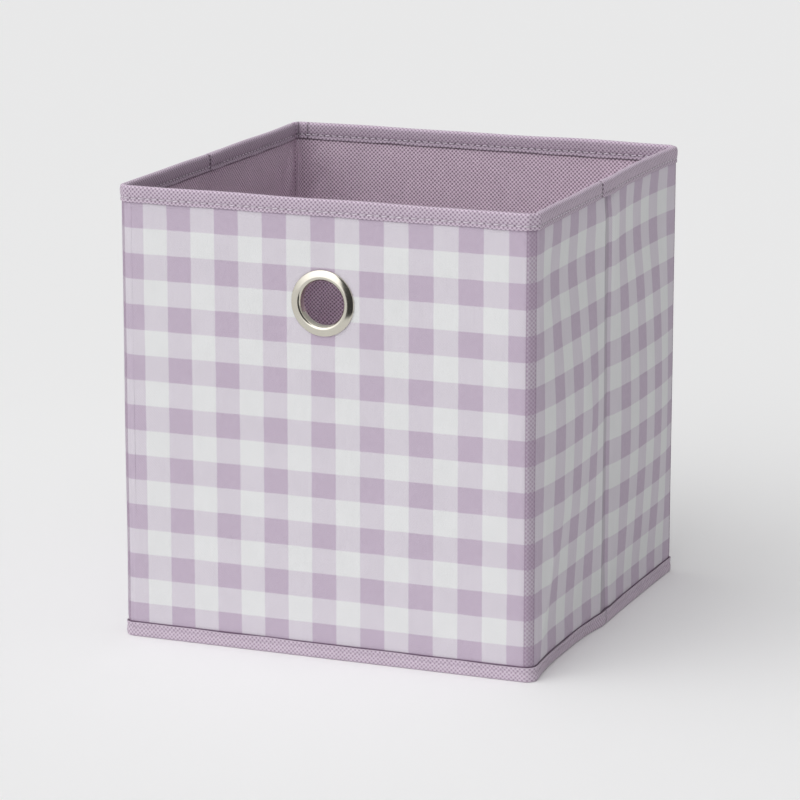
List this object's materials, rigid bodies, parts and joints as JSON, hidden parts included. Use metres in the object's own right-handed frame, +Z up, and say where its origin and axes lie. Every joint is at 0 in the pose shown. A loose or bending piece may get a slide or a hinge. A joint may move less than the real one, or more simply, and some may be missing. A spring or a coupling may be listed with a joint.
{
  "type": "fabric storage bin",
  "caption": "Collapsible square open-top fabric storage bin with stiff walls, bound rim, a metal finger grommet in the front wall and a loose stiff base insert.",
  "frame": {"origin": "on the floor under the middle of the bin", "axes": "+Z up, front wall with the grommet at -Y, +X to the right seen from the front"},
  "size_m": [0.267, 0.2686, 0.2794],
  "materials": {
    "gingham": "lilac and white gingham printed on matte nonwoven",
    "lining": "plum nonwoven embossed with a fine lattice of dots",
    "binding": "lilac nonwoven binding tape",
    "thread": "lilac polyester thread",
    "card": "plain grey card",
    "nickel": "bright nickel plate"
  },
  "bodies": {
    "front": {"front_outer_fabric": "gingham", "front_board": "card", "front_lining": "lining", "front_rim_binding": "binding", "front_rim_thread": "thread", "grommet_ring": "nickel", "grommet_washer": "nickel", "foot_binding": "binding", "foot_thread": "thread", "base_fabric": "lining", "base_seam_allowance": "lining", "front_right_corner_fabric": "gingham", "front_right_corner_lining": "lining", "front_right_corner_binding": "binding", "front_left_corner_fabric": "gingham", "front_left_corner_lining": "lining", "front_left_corner_binding": "binding"},
    "right_front": {"right_front_outer_fabric": "gingham", "right_front_board": "card", "right_front_lining": "lining", "right_front_rim_binding": "binding", "right_front_rim_thread": "thread", "right_crease_fabric": "gingham", "right_crease_lining": "lining", "right_crease_binding": "binding"},
    "right_rear": {"right_rear_outer_fabric": "gingham", "right_rear_board": "card", "right_rear_lining": "lining", "right_rear_rim_binding": "binding", "right_rear_rim_thread": "thread"},
    "back": {"back_outer_fabric": "gingham", "back_board": "card", "back_lining": "lining", "back_rim_binding": "binding", "back_rim_thread": "thread", "back_right_corner_fabric": "gingham", "back_right_corner_lining": "lining", "back_right_corner_binding": "binding", "back_left_corner_fabric": "gingham", "back_left_corner_lining": "lining", "back_left_corner_binding": "binding"},
    "left_rear": {"left_rear_outer_fabric": "gingham", "left_rear_board": "card", "left_rear_lining": "lining", "left_rear_rim_binding": "binding", "left_rear_rim_thread": "thread"},
    "left_front": {"left_front_outer_fabric": "gingham", "left_front_board": "card", "left_front_lining": "lining", "left_front_rim_binding": "binding", "left_front_rim_thread": "thread", "left_crease_fabric": "gingham", "left_crease_lining": "lining", "left_crease_binding": "binding"},
    "base_insert": {"base_insert_board": "card", "base_insert_cover_bottom": "lining", "base_insert_cover_top": "lining", "base_insert_thread": "thread"}
  },
  "joints": [
    {"name": "right_front_fold", "type": "hinge", "parent": "front", "child": "right_front", "pos_m": [0.12685, -0.12685, 0.14], "axis": [0, 0, 1], "range_deg": [0, 90], "deforming": ["front_right_corner_fabric", "front_right_corner_lining", "front_right_corner_binding", "foot_binding", "foot_thread", "base_fabric", "base_seam_allowance"]},
    {"name": "right_rear_fold", "type": "hinge", "parent": "right_front", "child": "right_rear", "pos_m": [0.13385, 0, 0.14], "axis": [0, 0, 1], "range_deg": [-180, 0], "deforming": ["right_crease_fabric", "right_crease_lining", "right_crease_binding"]},
    {"name": "back_fold", "type": "hinge", "parent": "right_rear", "child": "back", "pos_m": [0.12685, 0.12685, 0.14], "axis": [0, 0, 1], "range_deg": [0, 90], "deforming": ["back_right_corner_fabric", "back_right_corner_lining", "back_right_corner_binding", "back_left_corner_fabric", "back_left_corner_lining", "back_left_corner_binding"]},
    {"name": "left_front_fold", "type": "hinge", "parent": "front", "child": "left_front", "pos_m": [-0.12685, -0.12685, 0.14], "axis": [0, 0, 1], "range_deg": [-90, 0], "deforming": ["front_left_corner_fabric", "front_left_corner_lining", "front_left_corner_binding"]},
    {"name": "left_rear_fold", "type": "hinge", "parent": "left_front", "child": "left_rear", "pos_m": [-0.13385, 0, 0.14], "axis": [0, 0, 1], "range_deg": [0, 180], "deforming": ["left_crease_fabric", "left_crease_lining", "left_crease_binding"]},
    {"name": "base_insert_tilt", "type": "hinge", "parent": "front", "child": "base_insert", "pos_m": [0, -0.127, 0.0036], "axis": [1, 0, 0], "range_deg": [0, 90]}
  ],
  "couplings": [
    {"joint": "right_rear_fold", "follows": "right_front_fold", "ratio": -2},
    {"joint": "back_fold", "follows": "right_front_fold", "ratio": 1},
    {"joint": "left_front_fold", "follows": "right_front_fold", "ratio": -1},
    {"joint": "left_rear_fold", "follows": "right_front_fold", "ratio": 2}
  ]
}
